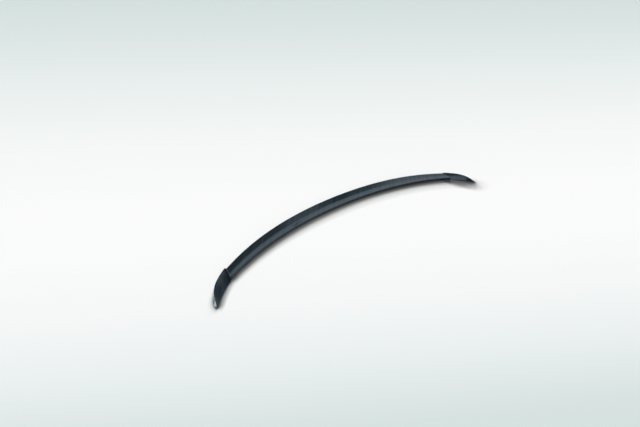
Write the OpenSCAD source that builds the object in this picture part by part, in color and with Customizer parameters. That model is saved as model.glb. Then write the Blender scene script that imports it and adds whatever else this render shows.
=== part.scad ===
// Rear lip spoiler for a car's boot lid, moulded as one shell: a bowed blade with a winglet at each end.
// X runs across the car, Y to the rear and Z up. The rear wall and the winglets' roots stand on z = 0,
// while the nose and the tips ride higher, because a boot lid falls away to the rear and to the sides.

/* [Bow] */
// Length of the blade between its two rear corners
blade_span = 1048; // [1000:1:1070]
// How far the blade's rear corners stand forward of the middle of the ridge
rear_sweep = 127.5; // [110:0.5:140]
// Share of that sweep that comes in late, so that the bow tightens towards its ends
late_sweep = 0.28; // [0:0.01:0.5]

/* [Blade] */
// Depth of the blade in the middle, from its front edge to the ridge
blade_depth = 53; // [42:0.5:65]
// Depth of the blade at its ends
blade_end_depth = 42; // [34:0.5:50]
// How long the blade keeps its middle depth before it narrows
depth_hold = 3.5; // [2:0.1:6]
// How much further out the front corner of the blade stands than its rear corner
end_rake = 4; // [0:0.5:8]
// Height of the ridge in the middle, above the foot of the rear wall
ridge_height = 19.7; // [17:0.1:28]
// Height of the ridge at the blade's ends
ridge_end_height = 16.8; // [15:0.1:24]
// How late along the blade the ridge falls to that height
height_fall = 1.5; // [1:0.1:4]
// How much higher the foot of the nose stands than the foot of the rear wall
nose_lift = 6.5; // [0:0.1:8]
// Height of the blunt nose along the front edge, above its own foot
nose_height = 6; // [4:0.1:7]
// Roundness of the nose
nose_round = 2.8; // [0.5:0.1:3.5]
// Radius of the blade's front corners in plan, over which its end walls come down to the winglets
corner_round = 5; // [4:0.5:8]
// Share of the depth that the flat land in front of the kick-up takes
land_share = 0.5; // [0.3:0.01:0.65]
// Rise of the land towards the rear, in degrees
land_slope = 1.5; // [0:0.1:3]
// Softness of the hollow where the land turns into the kick-up
kick_blend = 6; // [2:0.5:15]

/* [Winglets] */
// How far the tip stands outside the blade's rear corner
tip_out = 76.5; // [65:0.5:95]
// How far the tip stands forward of the blade's rear corner
tip_forward = 116.5; // [100:0.5:135]
// How far the winglet's rear corner stands outside the blade's rear corner
corner_out = 5; // [2:0.1:8]
// How far the winglet's rear corner stands behind the blade's rear corner
corner_back = 4.9; // [0:0.1:8]
// Height of the winglet at its rear corner
wing_height = 16.3; // [13:0.1:24]
// How long the winglet keeps its height towards the tip
height_hold = 2.55; // [1:0.05:3.5]
// How much higher the foot of the tip stands than the foot at the winglet's root
tip_lift = 3; // [0:0.5:6]
// Thickness of the winglet's thin front edge and of its tip
edge_thickness = 1.2; // [0.8:0.1:2.5]
// Softness of the winglet's hollow, where a larger value is straighter
wing_blend = 40; // [10:1:80]
// Direction in which the winglet's rear edge leaves the corner, in degrees forward of straight out
corner_angle = 37; // [28:0.5:48]
// How far the rear edge follows that direction
corner_pull = 93; // [60:1:105]
// Direction in which the rear edge reaches the tip, in degrees forward of straight out
tip_angle = 78; // [62:1:88]
// How far the rear edge keeps to the tip's direction
tip_pull = 32; // [15:1:50]
// How far the winglet's front edge is hollowed towards the rear
front_hollow = 6; // [0:0.5:10]
// Width of the blunt end of the tip
tip_width = 1; // [0.8:0.1:3]
// Length of the point beyond the last full section of the tip
tip_point = 1; // [0.5:0.1:4]

/* [Rear wall] */
// How far the foot of the rear wall stands out behind the ridge, along the blade
wall_flare = 2; // [0.5:0.1:5]
// The same at the tips, where the wall lies down into a bevel
tip_flare = 7; // [2:0.1:10]
// Roundness of the ridge
ridge_round = 1.2; // [0.5:0.1:3]

/* [Underside] */
// Thickness of the moulded skin over the channel
skin = 2; // [1.2:0.1:3]
// Width of the bonding land under the front edge
front_land = 12; // [6:0.5:18]
// Width of the bonding land under the rear wall, forward of the ridge
rear_land = 2.5; // [1.5:0.1:5]
// Lean of the channel's side walls, to release from the mould
draft = 0.8; // [0.3:0.1:1.5]
// Share of the winglet's length at which the channel starts to run out
channel_fade = 0.45; // [0.2:0.01:0.6]
// Share of the winglet's length at which the channel has closed
channel_end = 0.75; // [0.65:0.01:0.9]

/* [Finish] */
// Colour of the shell
shell_color = "DarkSlateGray"; // [DarkSlateGray, DimGray, SlateGray, Black]

/* [Hidden] */

// Numbers of steps along the blade and each winglet, and round the section
blade_steps = 64;
wing_steps = 28;
nose_steps = 3;
top_steps = 14;
ridge_steps = 4;
roof_steps = 10;
corner_steps = 4;

// Gap across which the section steps from the blade to the winglet at the front
step_gap = 1.2;
// How strongly the winglet's steps crowd towards the tip
wing_crowding = 1.6;
// Share of the winglet's length over which the rear wall lies down into the bevel
flare_start = 0.35;
flare_end = 0.85;
// Share of the winglet's length at which the bevel's foot starts to round in to the tip
round_start = 0.86;
// How far it has rounded in at the tip
round_depth = 0.85;
// Most that a radius, a land or the wall's draft takes of a small section
round_limit = 0.3;
land_limit = 0.4;
wall_limit = 0.2;
draft_limit = 0.05;

blade_half = blade_span / 2;
// Moves the bow's box onto the origin, front to rear
centre_shift = (rear_sweep + tip_forward - wall_flare) / 2;

function lerp(a, b, t) = a + (b - a) * t;
function ease(t) = let (c = min(1, max(0, t))) c * c * (3 - 2 * c);
function curve3(a, b, c, t) = lerp(lerp(a, b, t), lerp(b, c, t), t);
function curve4(a, b, c, d, t) = lerp(curve3(a, b, c, t), curve3(b, c, d, t), t);
function forward(angle) = [cos(angle), -sin(angle)];

// Plan of the blade, where u runs from -1 at the left end to 1 at the right
function ridge_y(u) = -rear_sweep * lerp(pow(u, 2), pow(u, 4), late_sweep);
function end_share(u) = min(1, (1 - abs(u)) * blade_half / corner_round);
function corner_loss(u) = corner_round * (1 - sqrt(1 - pow(1 - end_share(u), 2)));
function depth_at(u) = lerp(blade_depth, blade_end_depth, pow(abs(u), depth_hold));
function blade_rear(u) = [u * blade_half, ridge_y(u)];
function blade_front(u) = [u * (blade_half + end_rake), ridge_y(u) - depth_at(u) + corner_loss(u)];

// Plan of the right winglet, where t runs from 0 at the blade to 1 at the tip
corner = blade_rear(1) + [corner_out, corner_back];
front_root = [blade_half + end_rake + step_gap, -rear_sweep - blade_end_depth];
tip_end = blade_rear(1) + [tip_out, -tip_forward];
tip_rear = tip_end + [0, tip_point];
tip_front = tip_rear - [tip_width, tip_width / 2];
front_middle = (front_root + tip_front) / 2 + front_hollow * [1, 1];

function wing_rear(t) = curve4(
    corner,
    corner + corner_pull * forward(corner_angle),
    tip_rear - tip_pull * forward(tip_angle),
    tip_rear,
    t
);
function wing_front(t) = curve3(front_root, front_middle, tip_front, t);
function wing_flare(t) =
    lerp(wall_flare, tip_flare, ease((t - flare_start) / (flare_end - flare_start)))
    * sqrt(1 - round_depth * pow(max(0, t - round_start) / (1 - round_start), 2));

// Height of the feet
function nose_foot(u) = nose_lift * end_share(u);
function wing_foot(t) = tip_lift * t;

// Height of the top skin at distance a behind the front edge: a land, a hollow and a kick-up to the ridge
function soft_ramp(a, blend) = (a + sqrt(a * a + blend * blend)) / 2;
function top_z(a, depth, front_z, ridge_z, crease, blend, slope) =
    let (
        low = soft_ramp(-crease, blend),
        high = soft_ramp(depth - crease, blend),
        kick = ridge_z - front_z - slope * depth
    )
    front_z + slope * a + kick * (soft_ramp(a - crease, blend) - low) / (high - low);

// The same height over the blade and over the winglet, at a share of the depth
function blade_ridge(u) = lerp(ridge_height, ridge_end_height, pow(abs(u), height_fall));
function wing_ridge(t) = lerp(wing_height, tip_lift + edge_thickness, pow(t, height_hold));
nose_top = nose_lift + nose_height;
function blade_top(u, share) =
    let (depth = norm(blade_rear(u) - blade_front(u)))
    top_z(
        share * depth, depth, nose_top, blade_ridge(u), land_share * depth, kick_blend, tan(land_slope)
    );
function wing_top(t, share) =
    let (depth = norm(wing_rear(t) - wing_front(t)))
    top_z(share * depth, depth, wing_foot(t) + edge_thickness, wing_ridge(t), 0, wing_blend, 0);
function step_top(share) = min(blade_top(1, share), wing_top(0, share));

// One closed section as [distance behind the front edge, height], from the front foot over the top.
// The feet stand at the heights front_foot and rear_foot. top and roof give the height of the skin,
// outside and over the channel, at a share of the depth.
function section(depth, front_foot, rear_foot, flare, open, top, roof) =
    let (
        nose_z = top(0),
        ridge_z = top(1),
        nose_r = min(nose_round, (nose_z - front_foot) / 2, depth * round_limit),
        ridge_r = min(ridge_round, (ridge_z - rear_foot) / 2, depth * round_limit),
        land = min(front_land, depth * land_limit),
        wall = min(rear_land, depth * wall_limit),
        lean = min(draft, depth * draft_limit),
        heel = [depth + flare, rear_foot],
        ridge = [depth, ridge_z],
        skin_at = function (a) [a, top(a / depth)],
        floor_at = function (a) lerp(front_foot, rear_foot, a / depth),
        channel = function (a) [a, floor_at(a) + open * max(0, roof(a / depth) - skin - floor_at(a))],
        rear_start = skin_at(depth - ridge_r),
        ridge_end = lerp(ridge, heel, ridge_r / (ridge_z - rear_foot))
    )
    concat(
        [[0, front_foot]],
        [for (i = [0 : nose_steps])
            curve3([0, nose_z - nose_r], [0, nose_z], skin_at(nose_r), i / nose_steps)],
        [for (i = [1 : top_steps]) skin_at(lerp(nose_r, rear_start[0], i / top_steps))],
        [for (i = [1 : ridge_steps]) curve3(rear_start, ridge, ridge_end, i / ridge_steps)],
        [heel],
        [[depth - wall, rear_foot]],
        [for (i = [0 : roof_steps]) channel(lerp(depth - wall - lean, land + lean, i / roof_steps))],
        [[land, front_foot]]
    );

// Stands a section up between two points of the plan, on the given side of the car
function stand(profile, front, rear, side) =
    let (along = (rear - front) / norm(rear - front))
    [for (p = profile)
        let (q = front + along * p[0]) [side * q[0], q[1] + centre_shift, p[1]]];

function blade_station(u) =
    let (
        front = blade_front(u),
        rear = blade_rear(u),
        top = function (share) blade_top(u, share),
        roof = function (share) lerp(step_top(share), top(share), end_share(u))
    )
    stand(section(norm(rear - front), nose_foot(u), 0, wall_flare, 1, top, roof), front, rear, 1);

function wing_station(t, side) =
    let (
        front = wing_front(t),
        rear = wing_rear(t),
        foot = wing_foot(t),
        open = 1 - ease((t - channel_fade) / (channel_end - channel_fade)),
        top = function (share) wing_top(t, share),
        roof = t == 0 ? function (share) step_top(share) : top
    )
    stand(section(norm(rear - front), foot, foot, wing_flare(t), open, top, roof), front, rear, side);

// Places of the sections along the blade, close together round its front corners
corner_start = 1 - corner_round / blade_half;
corner_places = [for (i = [1 : corner_steps]) lerp(corner_start, 1, sin(90 * i / corner_steps))];
blade_places = concat(
    [for (i = [corner_steps - 1 : -1 : 0]) -corner_places[i]],
    [for (i = [0 : blade_steps]) corner_start * (2 * i / blade_steps - 1)],
    corner_places
);
// Places of the sections along a winglet, from the blade to the tip. The channel's roof leaves the
// step's height within a few millimetres of the blade.
wing_near = 2 * skin / (3 * corner_pull);
wing_places = concat(
    [0, wing_near],
    [for (i = [1 : wing_steps]) 1 - pow(1 - i / wing_steps, wing_crowding)]
);

stations = concat(
    [for (i = [len(wing_places) - 1 : -1 : 0]) wing_station(wing_places[i], -1)],
    [for (u = blade_places) blade_station(u)],
    [for (t = wing_places) wing_station(t, 1)]
);

// Skin over a row of matching rings, drawn to a point at each end
module skin_over(rings, first_point, last_point) {
    count = len(rings[0]);
    last = len(rings) - 1;
    first_id = count * len(rings);
    points = concat([for (ring = rings, p = ring) p], [first_point, last_point]);
    sides = [for (r = [0 : last - 1], i = [0 : count - 1])
        let (
            j = (i + 1) % count,
            a = r * count + i,
            b = r * count + j,
            c = a + count,
            d = b + count
        )
        each 2 * r < last ? [[a, b, d], [a, d, c]] : [[a, b, c], [b, d, c]]];
    first_cap = [for (i = [0 : count - 1]) [first_id, (i + 1) % count, i]];
    last_cap = [for (i = [0 : count - 1])
        [first_id + 1, last * count + i, last * count + (i + 1) % count]];
    polyhedron(points = points, faces = concat(sides, first_cap, last_cap), convexity = 10);
}

module spoiler() {
    tip = [tip_end[0], tip_end[1] + centre_shift, tip_lift];
    color(shell_color)
        skin_over(stations, [-tip[0], tip[1], 0], tip);
}

spoiler();
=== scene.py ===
"""Studio scene for the rear lip spoiler: one moulded shell of clear-coated carbon fibre.

X runs across the car, Y to the rear and Z up. Lengths are in metres and angles in degrees.
"""

import math

import bmesh
import bpy
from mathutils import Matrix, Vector


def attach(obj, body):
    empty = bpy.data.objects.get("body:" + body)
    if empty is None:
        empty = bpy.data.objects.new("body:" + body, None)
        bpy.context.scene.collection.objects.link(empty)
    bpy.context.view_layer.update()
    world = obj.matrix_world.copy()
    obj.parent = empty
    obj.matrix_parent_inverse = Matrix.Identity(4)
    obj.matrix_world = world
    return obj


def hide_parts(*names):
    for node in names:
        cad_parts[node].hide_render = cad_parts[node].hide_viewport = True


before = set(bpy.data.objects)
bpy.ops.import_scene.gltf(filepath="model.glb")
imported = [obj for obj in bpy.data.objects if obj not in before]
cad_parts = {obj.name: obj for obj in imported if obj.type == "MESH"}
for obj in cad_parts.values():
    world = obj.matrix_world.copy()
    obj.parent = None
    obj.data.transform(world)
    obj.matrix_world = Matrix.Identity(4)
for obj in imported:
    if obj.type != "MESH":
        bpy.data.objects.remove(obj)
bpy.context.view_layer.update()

MM = 0.001

# ---- sizes of the moulding ----

# Plan of the bow
BLADE_HALF = 524 * MM
REAR_SWEEP = 127.5 * MM
LATE_SWEEP = 0.28
BLADE_DEPTH = 53 * MM
BLADE_END_DEPTH = 42 * MM
DEPTH_HOLD = 3.5
END_RAKE = 4 * MM

# Heights and softness of the blade's section. Its land ends in a hollow, which lies at
# LAND_SHARE of the depth in the middle of the blade and at LAND_END_SHARE at its ends
RIDGE_HEIGHT = 19.7 * MM
RIDGE_END_HEIGHT = 16.8 * MM
HEIGHT_FALL = 1.5
NOSE_LIFT = 6.5 * MM
NOSE_HEIGHT = 6 * MM
NOSE_TOP = NOSE_LIFT + NOSE_HEIGHT
NOSE_ROUND = 3.6 * MM
CORNER_ROUND = 5 * MM
LAND_SHARE = 0.42
LAND_END_SHARE = 0.5
LAND_SLOPE = math.tan(math.radians(1.5))
KICK_BLEND = 6 * MM

# Winglets
TIP_OUT = 76.5 * MM
TIP_FORWARD = 116.5 * MM
CORNER_OUT = 5 * MM
CORNER_BACK = 4.9 * MM
WING_HEIGHT = 16.3 * MM
HEIGHT_HOLD = 2.9
TIP_LIFT = 3 * MM
EDGE_THICKNESS = 1.2 * MM
WING_BLEND = 40 * MM
CORNER_ANGLE = 37
CORNER_PULL = 93 * MM
TIP_ANGLE = 78
TIP_PULL = 32 * MM
FRONT_HOLLOW = 6 * MM
TIP_WIDTH = 1 * MM
TIP_POINT = 1 * MM
STEP_GAP = 1.2 * MM
STEP_RUN = 0.7 * MM

# Rear wall and its bevel at the tips
WALL_FLARE = 2 * MM
TIP_FLARE = 7 * MM
FLARE_START, FLARE_END = 0.25, 0.85
BEVEL_ROUND_START, BEVEL_ROUND_DEPTH = 0.86, 0.85
RIDGE_ROUND = 0.7 * MM

# Open channel underneath
SKIN = 2 * MM
FRONT_LAND = 12 * MM
REAR_LAND = 2.5 * MM
DRAFT = 0.8 * MM
CHANNEL_FADE, CHANNEL_END = 0.45, 0.75

# Largest shares of the depth for a rounding, the front land, the rear land and the draft,
# which hold where the section is narrow
ROUND_LIMIT, LAND_LIMIT, WALL_LIMIT, DRAFT_LIMIT = 0.3, 0.4, 0.2, 0.05

# Fine rounding that the mould gives every edge. It takes at most CORNER_LIMIT of an edge
FOOT_ROUND = 0.35 * MM
FILLET = 1.4 * MM
LEAST_FILLET = FOOT_ROUND / 4
END_ROUND = 0.3 * MM
CORNER_LIMIT = 0.45

# Numbers of steps round the section and along the bow
FOOT_STEPS = 2
NOSE_STEPS = 8
TOP_STEPS = 36
RIDGE_STEPS = 8
ROOF_STEPS = 22
BLADE_STEPS = 240
END_STEPS = 12
WING_STEPS = 90
WING_CROWDING = 1.6

# Sections between the blade and a winglet: 0 on the blade, 0.5 at the foot of its end wall
STEP_PLACES = (0.05, 0.25, 0.45, 0.5, 0.55, 0.75)

# Points of the skin that lie closer than this are one
WELD = 0.002 * MM

CENTRE_SHIFT = (REAR_SWEEP + TIP_FORWARD - WALL_FLARE) / 2


def lerp(a, b, t):
    return a + (b - a) * t


def ease(t):
    t = min(1.0, max(0.0, t))
    return t * t * (3 - 2 * t)


def curve3(a, b, c, t):
    return lerp(lerp(a, b, t), lerp(b, c, t), t)


def curve4(a, b, c, d, t):
    return lerp(curve3(a, b, c, t), curve3(b, c, d, t), t)


def forward(degrees):
    """Direction in plan, that many degrees forward of straight out."""
    angle = math.radians(degrees)
    return Vector((math.cos(angle), -math.sin(angle)))


# ---- plan of the blade: u runs from -1 at its left end to 1 at its right ----


def ridge_y(u):
    return -REAR_SWEEP * lerp(u**2, u**4, LATE_SWEEP)


def from_the_end(u, length):
    """0 at the blade's end, rising to 1 at that length inboard of it."""
    return min(1.0, (1 - abs(u)) * BLADE_HALF / length)


def round_loss(u, radius):
    """How much a rounded corner has taken off at u."""
    return radius * (1 - math.sqrt(1 - (1 - from_the_end(u, radius)) ** 2))


def blade_rear(u):
    return Vector((u * BLADE_HALF, ridge_y(u)))


def blade_front(u):
    depth = lerp(BLADE_DEPTH, BLADE_END_DEPTH, abs(u) ** DEPTH_HOLD)
    front_y = ridge_y(u) - depth + round_loss(u, CORNER_ROUND)
    return Vector((u * (BLADE_HALF + END_RAKE), front_y))


# ---- plan of the right winglet: t runs from 0 at the blade to 1 at the tip ----

WING_CORNER = blade_rear(1) + Vector((CORNER_OUT, CORNER_BACK))
FRONT_ROOT = Vector((BLADE_HALF + END_RAKE + STEP_GAP, -REAR_SWEEP - BLADE_END_DEPTH))
TIP_END = blade_rear(1) + Vector((TIP_OUT, -TIP_FORWARD))
TIP_REAR = TIP_END + Vector((0, TIP_POINT))
TIP_FRONT = TIP_REAR - Vector((TIP_WIDTH, TIP_WIDTH / 2))
FRONT_MIDDLE = (FRONT_ROOT + TIP_FRONT) / 2 + Vector((FRONT_HOLLOW, FRONT_HOLLOW))


def wing_rear(t):
    return curve4(
        WING_CORNER,
        WING_CORNER + CORNER_PULL * forward(CORNER_ANGLE),
        TIP_REAR - TIP_PULL * forward(TIP_ANGLE),
        TIP_REAR,
        t,
    )


def wing_front(t):
    return curve3(FRONT_ROOT, FRONT_MIDDLE, TIP_FRONT, t)


def wing_flare(t):
    """How far the rear wall's foot stands out behind the ridge: most at the tips' bevel."""
    late = max(0.0, t - BEVEL_ROUND_START) / (1 - BEVEL_ROUND_START)
    flare = lerp(WALL_FLARE, TIP_FLARE, ease((t - FLARE_START) / (FLARE_END - FLARE_START)))
    return flare * math.sqrt(1 - BEVEL_ROUND_DEPTH * late**2)


# ---- heights of the top skin ----


def soft_ramp(a, blend):
    return (a + math.sqrt(a * a + blend * blend)) / 2


def top_height(a, depth, front_height, ridge_height, crease, blend, slope):
    """Height at distance a behind the front edge: a land, a hollow and a kick-up to the ridge."""
    low = soft_ramp(-crease, blend)
    high = soft_ramp(depth - crease, blend)
    kick = ridge_height - front_height - slope * depth
    return front_height + slope * a + kick * (soft_ramp(a - crease, blend) - low) / (high - low)


def blade_ridge(u):
    return lerp(RIDGE_HEIGHT, RIDGE_END_HEIGHT, abs(u) ** HEIGHT_FALL)


def wing_ridge(t):
    return lerp(WING_HEIGHT, TIP_LIFT + EDGE_THICKNESS, t**HEIGHT_HOLD)


def blade_top(u, share):
    depth = (blade_rear(u) - blade_front(u)).length
    crease = depth * lerp(LAND_SHARE, LAND_END_SHARE, abs(u) ** DEPTH_HOLD)
    return top_height(
        share * depth, depth, NOSE_TOP, blade_ridge(u), crease, KICK_BLEND, LAND_SLOPE
    )


def wing_top(t, share):
    depth = (wing_rear(t) - wing_front(t)).length
    front = TIP_LIFT * t + EDGE_THICKNESS
    return top_height(share * depth, depth, front, wing_ridge(t), 0, WING_BLEND, 0)


def step_top(share):
    return min(blade_top(1, share), wing_top(0, share))


# ---- the section, as [distance behind the front edge, height] ----


def rounded(before, corner, after, radius, steps):
    """Points that round a corner off between its two neighbours."""
    to_before, to_after = before - corner, after - corner
    start = corner + to_before * min(CORNER_LIMIT, radius / max(to_before.length, radius))
    end = corner + to_after * min(CORNER_LIMIT, radius / max(to_after.length, radius))
    return [curve3(start, corner, end, i / steps) for i in range(steps + 1)]


def section(depth, front_foot, rear_foot, flare, opening, top, roof):
    """From the front foot over the nose, land, kick-up and ridge, and back in the channel.

    The top and the channel's roof are heights by share of the depth. The opening is 1 where
    the channel is at its full height and 0 where it has run out.
    """
    nose_z, ridge_z = top(0), top(1)
    nose_r = min(NOSE_ROUND, (nose_z - front_foot) / 2, depth * ROUND_LIMIT)
    ridge_r = min(RIDGE_ROUND, (ridge_z - rear_foot) / 2, depth * ROUND_LIMIT)
    land = min(FRONT_LAND, depth * LAND_LIMIT)
    wall = min(REAR_LAND, depth * WALL_LIMIT)
    lean = min(DRAFT, depth * DRAFT_LIMIT)

    def skin_at(a):
        return Vector((a, top(a / depth)))

    def channel(a):
        floor = lerp(front_foot, rear_foot, a / depth)
        return Vector((a, floor + opening * max(0.0, roof(a / depth) - SKIN - floor)))

    toe, heel = Vector((0, front_foot)), Vector((depth + flare, rear_foot))
    land_foot, wall_foot = Vector((land, front_foot)), Vector((depth - wall, rear_foot))
    land_roof, wall_roof = channel(land + lean), channel(depth - wall - lean)
    nose_start, nose_corner = Vector((0, nose_z - nose_r)), Vector((0, nose_z))
    ridge_start, ridge = skin_at(depth - ridge_r), Vector((depth, ridge_z))
    ridge_end = lerp(ridge, heel, ridge_r / (ridge_z - rear_foot))
    fillet = min(FILLET, CORNER_LIMIT * (wall_roof.y - rear_foot) + LEAST_FILLET)
    roof_start, roof_end = depth - wall - lean - fillet, land + lean + fillet

    def between(start, end, steps):
        return [lerp(start, end, i / steps) for i in range(1, steps)]

    def turn(start, corner, end, steps):
        return [curve3(start, corner, end, i / steps) for i in range(steps + 1)]

    points = rounded(land_foot, toe, nose_start, FOOT_ROUND, FOOT_STEPS)
    points += turn(nose_start, nose_corner, skin_at(nose_r), NOSE_STEPS)
    points += [skin_at(a) for a in between(nose_r, ridge_start.x, TOP_STEPS)]
    points += turn(ridge_start, ridge, ridge_end, RIDGE_STEPS)
    points += rounded(ridge_end, heel, wall_foot, FOOT_ROUND, FOOT_STEPS)
    points += rounded(heel, wall_foot, wall_roof, FOOT_ROUND, FOOT_STEPS)
    points += rounded(wall_foot, wall_roof, channel(roof_start), fillet, FOOT_STEPS)
    points += [channel(a) for a in between(roof_start, roof_end, ROOF_STEPS)]
    points += rounded(channel(roof_end), land_roof, land_foot, fillet, FOOT_STEPS)
    points += rounded(land_roof, land_foot, toe, FOOT_ROUND, FOOT_STEPS)
    return points


# Where the section's points leave the nose, counted from the front foot
NOSE_LAST = FOOT_STEPS + 1 + NOSE_STEPS


def stand(points, front, rear, side):
    """Stands a section up in plan, as each point's place and its spot in the flat cloth."""
    along = (rear - front).normalized()
    run = [0.0]
    for a, b in zip(points, points[1:] + points[:1]):
        run.append(run[-1] + (b - a).length)
    station = []
    for i, p in enumerate(points + points[:1]):
        place = front + along * p.x
        flat = front + along * (run[i] - run[NOSE_LAST])
        station.append((
            Vector((side * place.x, place.y + CENTRE_SHIFT, p.y)),
            Vector((side * flat.x, flat.y + CENTRE_SHIFT)),
        ))
    return station


def blade_station(u):
    """Inboard, the nose rides high. At the end, the end wall comes down to the foot."""
    front, rear = blade_front(u), blade_rear(u)
    inboard = from_the_end(u, CORNER_ROUND)
    lost = round_loss(u, END_ROUND)
    points = section(
        (rear - front).length, NOSE_LIFT * inboard, 0, WALL_FLARE, 1,
        lambda share: blade_top(u, share) - lost,
        lambda share: lerp(step_top(share), blade_top(u, share), inboard),
    )
    return stand(points, front, rear, 1)


def wing_station(t, side):
    front, rear = wing_front(t), wing_rear(t)
    foot = TIP_LIFT * t
    opening = 1 - ease((t - CHANNEL_FADE) / (CHANNEL_END - CHANNEL_FADE))
    roof = step_top if t == 0 else (lambda share: wing_top(t, share))
    points = section(
        (rear - front).length, foot, foot, wing_flare(t), opening,
        lambda share: wing_top(t, share), roof,
    )
    return stand(points, front, rear, side)


def across_step(start, end, place):
    """A section between the blade and a winglet.

    The first half of the way goes down the steep end wall, the rest across the winglet.
    """
    station = []
    for (a, flat_a), (b, flat_b) in zip(start, end):
        foot = min(1, STEP_RUN / max((b - a).xy.length, STEP_RUN))
        out = lerp(0, foot, 2 * place) if place < 0.5 else lerp(foot, 1, 2 * place - 1)
        spot = lerp(a, b, out)
        spot.z = lerp(a.z, b.z, min(1, 2 * place))
        station.append((spot, lerp(flat_a, flat_b, out)))
    return station


def stations_along_the_bow():
    """Every section from the left tip to the right one. At the tips it is a single point."""
    wing_places = [1 - (1 - i / WING_STEPS) ** WING_CROWDING for i in range(WING_STEPS + 1)]
    end_start = 1 - CORNER_ROUND / BLADE_HALF
    turns = [math.sin(math.pi / 2 * i / END_STEPS) for i in range(END_STEPS + 1)]
    end_places = [lerp(end_start, 1, turn) for turn in turns]
    blade_places = [-u for u in reversed(end_places)]
    blade_places += [end_start * (2 * i / BLADE_STEPS - 1) for i in range(1, BLADE_STEPS)]
    blade_places += end_places

    blade = [blade_station(u) for u in blade_places]
    left = [wing_station(t, -1) for t in reversed(wing_places)]
    right = [wing_station(t, 1) for t in wing_places]
    left_step = [across_step(blade[0], left[-1], place) for place in reversed(STEP_PLACES)]
    right_step = [across_step(blade[-1], right[0], place) for place in STEP_PLACES]

    tip = Vector((TIP_END.x, TIP_END.y + CENTRE_SHIFT, TIP_LIFT))
    left_tip = [(Vector((-tip.x, tip.y, tip.z)), flat) for _, flat in left[0]]
    right_tip = [(tip, flat) for _, flat in right[-1]]
    return [left_tip, *left, *left_step, *blade, *right_step, *right, right_tip]


def put_in_scene(name, data):
    thing = bpy.data.objects.new(name, data)
    bpy.context.scene.collection.objects.link(thing)
    return thing


def piece_from(name, shape):
    """Turns a finished bmesh into an object of the scene."""
    mesh = bpy.data.meshes.new(name)
    shape.to_mesh(mesh)
    shape.free()
    return put_in_scene(name, mesh)


def moulded_shell():
    """The whole lip as one closed skin, swept along the bow from tip to tip."""
    stations = stations_along_the_bow()
    spans, sides = len(stations) - 1, len(stations[0]) - 1

    skin = bmesh.new()
    cloth = skin.loops.layers.uv.new("cloth")
    bmesh.ops.create_grid(skin, x_segments=spans, y_segments=sides, size=0.5)

    def on_station(vert):
        """The place and the cloth's spot for a vertex of the grid, which is 1 m wide."""
        station, point = (vert.co.x + 0.5) * spans, (vert.co.y + 0.5) * sides
        return stations[round(station)][round(point)]

    for face in skin.faces:
        for corner in face.loops:
            corner[cloth].uv = on_station(corner.vert)[1]
    for vert in skin.verts:
        vert.co = on_station(vert)[0]
    bmesh.ops.remove_doubles(skin, verts=skin.verts, dist=WELD)
    bmesh.ops.recalc_face_normals(skin, faces=skin.faces)
    for face in skin.faces:
        face.smooth = True
    return piece_from("spoiler_shell", skin)


# ---- materials ----


class Nodes:
    """Short words for building a node tree.

    Where a word takes a value, it may also be another node's output.
    """

    # A mix node's sockets, by what it mixes: share, first, second and result
    MIX_SOCKETS = {"FLOAT": (0, 2, 3, 0), "RGBA": (0, 6, 7, 2)}

    def __init__(self, tree):
        self.tree = tree
        tree.nodes.clear()

    def add(self, kind, values=None, **settings):
        """A node with these settings, and these values on its inputs."""
        node = self.tree.nodes.new(kind)
        for name, setting in settings.items():
            setattr(node, name, setting)
        for socket, value in (values or {}).items():
            if isinstance(value, bpy.types.NodeSocket):
                self.tree.links.new(value, node.inputs[socket])
            else:
                node.inputs[socket].default_value = value
        return node

    def math(self, operation, a, b=0.0, c=0.0):
        node = self.add("ShaderNodeMath", {0: a, 1: b, 2: c}, operation=operation)
        return node.outputs[0]

    def vector(self, operation, a, b=(0, 0, 0)):
        node = self.add("ShaderNodeVectorMath", {0: a, 1: b}, operation=operation)
        is_number = operation in ("DOT_PRODUCT", "LENGTH")
        return node.outputs["Value" if is_number else "Vector"]

    def split(self, vector):
        """A vector's x, y and z."""
        return self.add("ShaderNodeSeparateXYZ", {0: vector}).outputs

    def mapping(self, kind, vector, **values):
        node = self.add("ShaderNodeMapping", {"Vector": vector, **values}, vector_type=kind)
        return node.outputs[0]

    def ease(self, value, start, end, full=1.0):
        """Rises softly from 0 where the value is at the start to full where it is at the end."""
        values = {"Value": value, "From Min": start, "From Max": end, "To Max": full}
        node = self.add("ShaderNodeMapRange", values, interpolation_type="SMOOTHSTEP")
        return node.outputs[0]

    def mix(self, kind, share, first, second):
        *inputs, result = self.MIX_SOCKETS[kind]
        values = dict(zip(inputs, (share, first, second)))
        return self.add("ShaderNodeMix", values, data_type=kind).outputs[result]

    def ramp(self, share, stops, interpolation="LINEAR"):
        """A colour ramp, with its stops as (place, colour)."""
        node = self.add("ShaderNodeValToRGB", {0: share})
        node.color_ramp.interpolation = interpolation
        elements = node.color_ramp.elements
        while len(elements) < len(stops):
            elements.new(0.5)
        for element, (place, colour) in zip(elements, stops):
            element.position = place
            element.color = (*colour, 1)
        return node.outputs[0]

    def background(self, colour, level=1.0):
        return self.add("ShaderNodeBackground", {0: colour, 1: level}).outputs[0]

    def blend(self, share, first, second):
        """A shader that goes from the first to the second with the share."""
        return self.add("ShaderNodeMixShader", {0: share, 1: first, 2: second}).outputs[0]


def new_material(name):
    """A new material, and the words to build it with."""
    material = bpy.data.materials.new(name)
    material.use_nodes = True
    return material, Nodes(material.node_tree)


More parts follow.
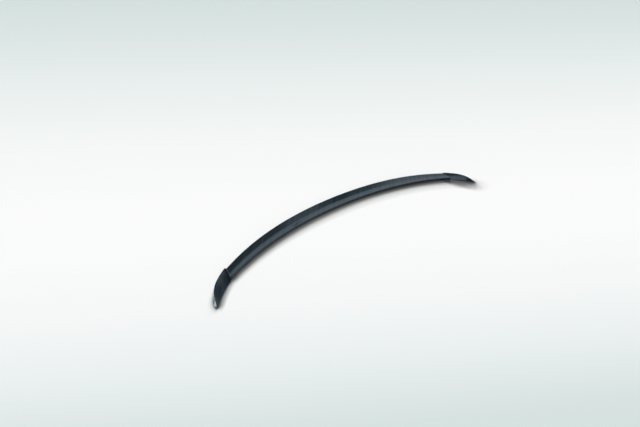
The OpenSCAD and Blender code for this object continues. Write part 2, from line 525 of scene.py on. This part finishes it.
# Carbon cloth: a 2x2 twill of tows, with faint slanting streaks of uneven tone and painted sheen
TOW = 2.4 * MM
TWILL_REPEAT, TWILL_OVER = 4, 2
# The weave's pattern is the cloth's own. The weft's paler colour is painted sheen: both tows are
# one fibre, and the contrast stands in for the light each one catches
WARP_COLOUR = (0.032, 0.046, 0.057, 1)
WEFT_COLOUR = (0.041, 0.060, 0.073, 1)
WEAVE_BUMP, WEAVE_RELIEF = 0.5, 0.12 * MM
# Streaks: partly the cloth's own uneven tone, partly painted sheen along the twill's diagonals
STREAK_PITCH = 20 * MM
STREAK_LENGTH = 160 * MM
STREAK_ANGLE = 53
STREAK_DEPTH = 0.16
STREAK_WAVE, STREAK_DRIFT = 0.5, 4
DRIFT_SCALE, DRIFT_DETAIL = 1.3, 1
TOW_ROUGHNESS, COAT_ROUGHNESS = 0.32, 0.03


def woven_carbon():
    """Carbon twill under a thick gloss coat, laid flat in plan and folded over the edges."""
    material, n = new_material("woven_carbon")
    cloth = n.add("ShaderNodeUVMap", uv_map="cloth").outputs[0]
    x, y = n.split(n.mapping("POINT", cloth, Scale=(1 / TOW, 1 / TOW, 1)))[:2]
    column, row = n.math("FLOOR", x), n.math("FLOOR", y)
    turn = n.math("FLOORED_MODULO", n.math("SUBTRACT", column, row), TWILL_REPEAT)
    warp_up = n.math("LESS_THAN", turn, TWILL_OVER - 0.5)

    def crown(position):
        """Across a tow: 1 in its middle and 0 at its edges."""
        off = n.math("SUBTRACT", n.math("FRACT", position), 0.5)
        return n.math("SUBTRACT", 1, n.math("MULTIPLY", n.math("MULTIPLY", off, off), 4))

    def arch(along):
        """Along a tow: it rises over two others from 0 on, and dips under the next two."""
        phase = n.math("FLOORED_MODULO", along, TWILL_REPEAT)
        return n.math("SINE", n.math("MULTIPLY", phase, 2 * math.pi / TWILL_REPEAT))

    warp_run = n.math("ADD", n.math("SUBTRACT", column, y), 1)
    weft_run = n.math("SUBTRACT", n.math("SUBTRACT", x, row), 2)
    warp_height = n.math("MULTIPLY", crown(x), arch(warp_run))
    weft_height = n.math("MULTIPLY", crown(y), arch(weft_run))
    height = n.mix("FLOAT", warp_up, weft_height, warp_height)
    relief = {"Height": height, "Strength": WEAVE_BUMP, "Distance": WEAVE_RELIEF}
    bump = n.add("ShaderNodeBump", relief)

    # The streaks are partly the cloth's uneven tone and partly painted sheen, where the diagonals
    # catch the light
    streaks = n.mapping(
        "TEXTURE", cloth,
        Rotation=(0, 0, math.radians(STREAK_ANGLE)),
        Scale=(STREAK_LENGTH, STREAK_PITCH, 1),
    )
    wave = n.math("SINE", n.math("MULTIPLY", n.split(streaks)[1], 2 * math.pi))
    patches = {"Vector": streaks, "Scale": DRIFT_SCALE, "Detail": DRIFT_DETAIL}
    noise = n.add("ShaderNodeTexNoise", patches, noise_dimensions="2D")
    drift = n.math("SUBTRACT", noise.outputs["Fac"], 0.5)
    tone_and_sheen = n.math("MULTIPLY_ADD", drift, STREAK_DRIFT, n.math("MULTIPLY", wave, STREAK_WAVE))
    level = n.math("MULTIPLY_ADD", tone_and_sheen, STREAK_DEPTH, 1)
    # Painted sheen: the weft tows take the paler colour
    plain = n.mix("RGBA", warp_up, WEFT_COLOUR, WARP_COLOUR)
    colour = n.add("ShaderNodeVectorMath", {0: plain, "Scale": level}, operation="SCALE")

    shader = n.add("ShaderNodeBsdfPrincipled", {
        "Base Color": colour.outputs[0],
        "Metallic": 1.0,
        "Roughness": TOW_ROUGHNESS,
        "Coat Weight": 1.0,
        "Coat Roughness": COAT_ROUGHNESS,
        "Normal": bump.outputs[0],
    })
    n.add("ShaderNodeOutputMaterial", {0: shader.outputs[0]})
    return material


# Floor: painted light. Its colours run in bands from front to rear, palest under the part, as
# a band of light would leave them. A stop's place is d / (d + 1 m), with d the distance behind
# the line where the bands begin. Between FADE_START and FADE_END from the part, they run out
# into the last colour
FLOOR_HALF = 40
FADE_START, FADE_END = 14, 36
BAND_WAY = (0.499, 0.870, 0)
BAND_START = 1.02
FLOOR_STOPS = (
    (0.00, (0.60, 0.69, 0.685)),
    (0.22, (0.68, 0.76, 0.755)),
    (0.30, (0.82, 0.868, 0.866)),
    (0.38, (0.918, 0.935, 0.931)),
    (0.46, (0.955, 0.967, 0.960)),
    (0.54, (0.955, 0.964, 0.956)),
    (0.62, (0.923, 0.942, 0.933)),
    (0.72, (0.840, 0.884, 0.872)),
    (0.85, (0.711, 0.787, 0.779)),
    (1.00, (0.60, 0.69, 0.685)),
)
FAR_COLOUR = (*FLOOR_STOPS[-1][1], 1)
BLACK = (0.0, 0.0, 0.0, 1)

# Painted floor shade: ambient occlusion, raised to a power, darkens the floor's colour. It falls
# towards one point on the floor, and reaches further to the rear right
SHADE_POINT = (0, -0.9, 0)
SHADE_RISE = 0.5
SHADE_REACH = 0.053
LEAST_REACH = 0.02
REACH_GAIN = (0.055, 0.036, 0)
SHADE_SAMPLES = 32
SHADE_DARKEST = 0.13

# Depth of the painted shade, and what is added to it beside the left winglet, beside the right
# one and along the right half of the blade: (x where it starts, x where it is full, how much)
BLADE_SHADE = 2.1
DEEPER_SHADES = (
    (-0.52, -0.56, 6),
    (0.485, 0.545, 28),
    (0.05, 0.30, 0.9),
)


def pale_floor():
    """Matt floor, palest in a band of painted light under the part, with a painted soft dark
    shade on its front side.
    """
    material, n = new_material("pale_floor")
    place = n.add("ShaderNodeTexCoord").outputs["Object"]
    along = n.math("ADD", n.vector("DOT_PRODUCT", place, BAND_WAY), BAND_START)
    behind = n.math("MAXIMUM", along, 0)
    # Painted light: the floor's colour is palest in a band under the part
    painted_light_bands = n.ramp(n.math("DIVIDE", behind, n.math("ADD", behind, 1)), FLOOR_STOPS)
    far = n.ease(n.vector("LENGTH", place), FADE_START, FADE_END)
    pale = n.mix("RGBA", far, painted_light_bands, FAR_COLOUR)

    way = n.vector("NORMALIZE", n.vector("SUBTRACT", place, SHADE_POINT))
    leaning = n.vector("NORMALIZE", n.vector("ADD", way, (0, 0, SHADE_RISE)))
    reach = n.math("ADD", n.vector("DOT_PRODUCT", place, REACH_GAIN), SHADE_REACH)
    values = {"Normal": leaning, "Distance": n.math("MAXIMUM", reach, LEAST_REACH)}
    shade = n.add("ShaderNodeAmbientOcclusion", values, samples=SHADE_SAMPLES)
    across = n.split(place)[0]
    depth = BLADE_SHADE
    for start, end, more in DEEPER_SHADES:
        depth = n.math("ADD", n.ease(across, start, end, more), depth)
    # Painted shade: the occlusion darkens the floor's colour, more deeply beside the winglets and
    # on the right
    open_share = n.math("POWER", shade.outputs["AO"], depth)
    left_light = n.math("MULTIPLY_ADD", open_share, 1 - SHADE_DARKEST, SHADE_DARKEST)
    colour = n.mix("RGBA", left_light, BLACK, pale)
    shader = n.add("ShaderNodeBsdfDiffuse", {"Color": colour})
    n.add("ShaderNodeOutputMaterial", {0: shader.outputs[0]})
    return material


def studio_floor():
    sheet = bmesh.new()
    bmesh.ops.create_grid(sheet, x_segments=1, y_segments=1, size=FLOOR_HALF)
    floor = piece_from("floor", sheet)
    floor.data.materials.append(pale_floor())
    return floor


# ---- light ----

# Levels of the reflected walls by height (the sine of the elevation), and towards the rear left
WALL_LEVELS = ((0.0, 0.9), (0.5, 1.0), (0.755, 1.0), (0.80, 0.16), (1.0, 0.10))
WALL_TINT = (0.87, 1.0, 1.11)
WALL_MIDDLE, WALL_SWING = 0.74, 0.33
PALE_WAY = (-0.53, 0.85, 0)

# Glow of a window. It starts at the rim and is full at the heart, both as the cosine of the
# angle off the window's way
WINDOW_WAY = (-0.72, 0.69, 0.14)
WINDOW_TINT = (0.82, 0.95, 0.90)
WINDOW_LEVEL = 4.4
WINDOW_RIM, WINDOW_HEART = 0.72, 0.96

# Lamps: (share of the floor's light, way the light comes from in plan, slope, spread).
# The even light gives the rest
BACK_LIGHT = (0.60, (0.6, 0.8), 23, 26)
FRONT_LIGHT = (0.20, (-0.57, -0.82), 35, 70)
EVEN_LIGHT = 0.20

# Studio gear overhead, which the gloss alone shows: (middle, size, level). Each hangs a
# little below the one before it. Its level is full out to the heart and gone at the rim,
# as shares of half its size
GEAR_HEIGHT, GEAR_GAP = 1.5, 0.01
GEAR_RIM, GEAR_HEART = 1.0, 0.55
GEAR = {
    "strip_light": ((1.02, 0.10), (1.2, 0.42), 1.05),
    "dark_flag": ((1.0, 0.66), (1.15, 0.66), 0.17),
    "pale_card": ((0.63, 0.88), (0.42, 0.24), 0.47),
    "small_flag": ((0.99, 0.83), (0.22, 0.14), 0.06),
    "lamp_arm": ((0.64, 1.41), (0.14, 0.07), 0.0),
}


def studio_world():
    """In reflections, walls that are palest to the rear left under a dark ceiling.

    For everything else, an even light.
    """
    world = bpy.data.worlds.new("studio")
    bpy.context.scene.world = world
    world.use_nodes = True
    n = Nodes(world.node_tree)
    direction = n.add("ShaderNodeTexCoord").outputs["Generated"]
    stops = [(place, [level * t for t in WALL_TINT]) for place, level in WALL_LEVELS]
    wall_colour = n.ramp(n.split(direction)[2], stops, "EASE")
    level_way = n.vector("NORMALIZE", n.vector("MULTIPLY", direction, (1, 1, 0)))
    facing = n.vector("DOT_PRODUCT", level_way, PALE_WAY)
    walls = n.background(wall_colour, n.math("MULTIPLY_ADD", facing, WALL_SWING, WALL_MIDDLE))

    nearness = n.vector("DOT_PRODUCT", direction, Vector(WINDOW_WAY).normalized())
    glow = n.ease(nearness, WINDOW_RIM, WINDOW_HEART, WINDOW_LEVEL)
    window = n.background((*WINDOW_TINT, 1), glow)
    room = n.add("ShaderNodeAddShader", {0: walls, 1: window}).outputs[0]

    even = n.background((EVEN_LIGHT, EVEN_LIGHT, EVEN_LIGHT, 1))
    seen = n.background(FAR_COLOUR)
    path = n.add("ShaderNodeLightPath").outputs
    by_gloss = n.blend(path["Is Glossy Ray"], even, room)
    by_eye = n.blend(path["Is Camera Ray"], by_gloss, seen)
    n.add("ShaderNodeOutputWorld", {0: by_eye})


def overhead_card(name, place, middle, size, level):
    """A soft-edged card over the part, which only reflections show."""
    sheet = bmesh.new()
    bmesh.ops.create_grid(sheet, x_segments=1, y_segments=1, size=0.5)
    bmesh.ops.scale(sheet, vec=(*size, 1), verts=sheet.verts)
    spot = (*middle, GEAR_HEIGHT - place * GEAR_GAP)
    bmesh.ops.translate(sheet, vec=spot, verts=sheet.verts)
    card = piece_from(name, sheet)
    card.visible_camera = card.visible_diffuse = False
    card.visible_transmission = card.visible_shadow = False

    material, n = new_material(name)
    share = n.mapping(
        "TEXTURE", n.add("ShaderNodeTexCoord").outputs["Object"],
        Location=(*middle, 0),
        Scale=(size[0] / 2, size[1] / 2, 1),
    )
    off_x, off_y = n.split(share)[:2]
    edges = [n.ease(n.math("ABSOLUTE", off), GEAR_RIM, GEAR_HEART) for off in (off_x, off_y)]
    glow = n.add("ShaderNodeEmission", {"Color": (*(level * t for t in WALL_TINT), 1)})
    clear = n.add("ShaderNodeBsdfTransparent")
    soft = n.blend(n.math("MULTIPLY", *edges), clear.outputs[0], glow.outputs[0])
    n.add("ShaderNodeOutputMaterial", {0: soft})
    card.data.materials.append(material)
    return card


def far_lamp(name, share, way, slope, spread):
    """A far lamp that gives the floor this share of white, and that no reflection shows."""
    data = bpy.data.lights.new(name, "SUN")
    data.energy = share * math.pi / math.sin(math.radians(slope))
    data.angle = math.radians(spread)
    lamp = put_in_scene(name, data)
    lamp.rotation_euler = (math.radians(slope - 90), 0, -math.atan2(*way))
    lamp.visible_glossy = False


# Camera at the photo's viewpoint: its lens and sensor in millimetres, its dip below level,
# its turn from straight to the rear, and the nearest and farthest things it shows
VIEW_PLACE = (-0.6950, -0.7721, 0.7797)
VIEW_DIP, VIEW_TURN = 36.93, -34.68
VIEW_LENS, VIEW_SENSOR = 18.53, 36
VIEW_NEAR, VIEW_FAR = 0.02, 120


def camera_at_the_viewpoint():
    data = bpy.data.cameras.new("viewpoint")
    data.sensor_width = VIEW_SENSOR
    data.lens = VIEW_LENS
    data.clip_start, data.clip_end = VIEW_NEAR, VIEW_FAR
    camera = put_in_scene("viewpoint", data)
    camera.location = VIEW_PLACE
    camera.rotation_euler = (math.radians(90 - VIEW_DIP), 0, math.radians(VIEW_TURN))
    bpy.context.scene.camera = camera


shell = moulded_shell()
shell.data.materials.append(woven_carbon())
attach(shell, "root")
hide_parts("spoiler")
studio_floor()
studio_world()
for place, (name, card) in enumerate(GEAR.items()):
    overhead_card(name, place, *card)
far_lamp("back_light", *BACK_LIGHT)
far_lamp("front_light", *FRONT_LIGHT)
camera_at_the_viewpoint()
bpy.context.scene.view_settings.view_transform = "Standard"
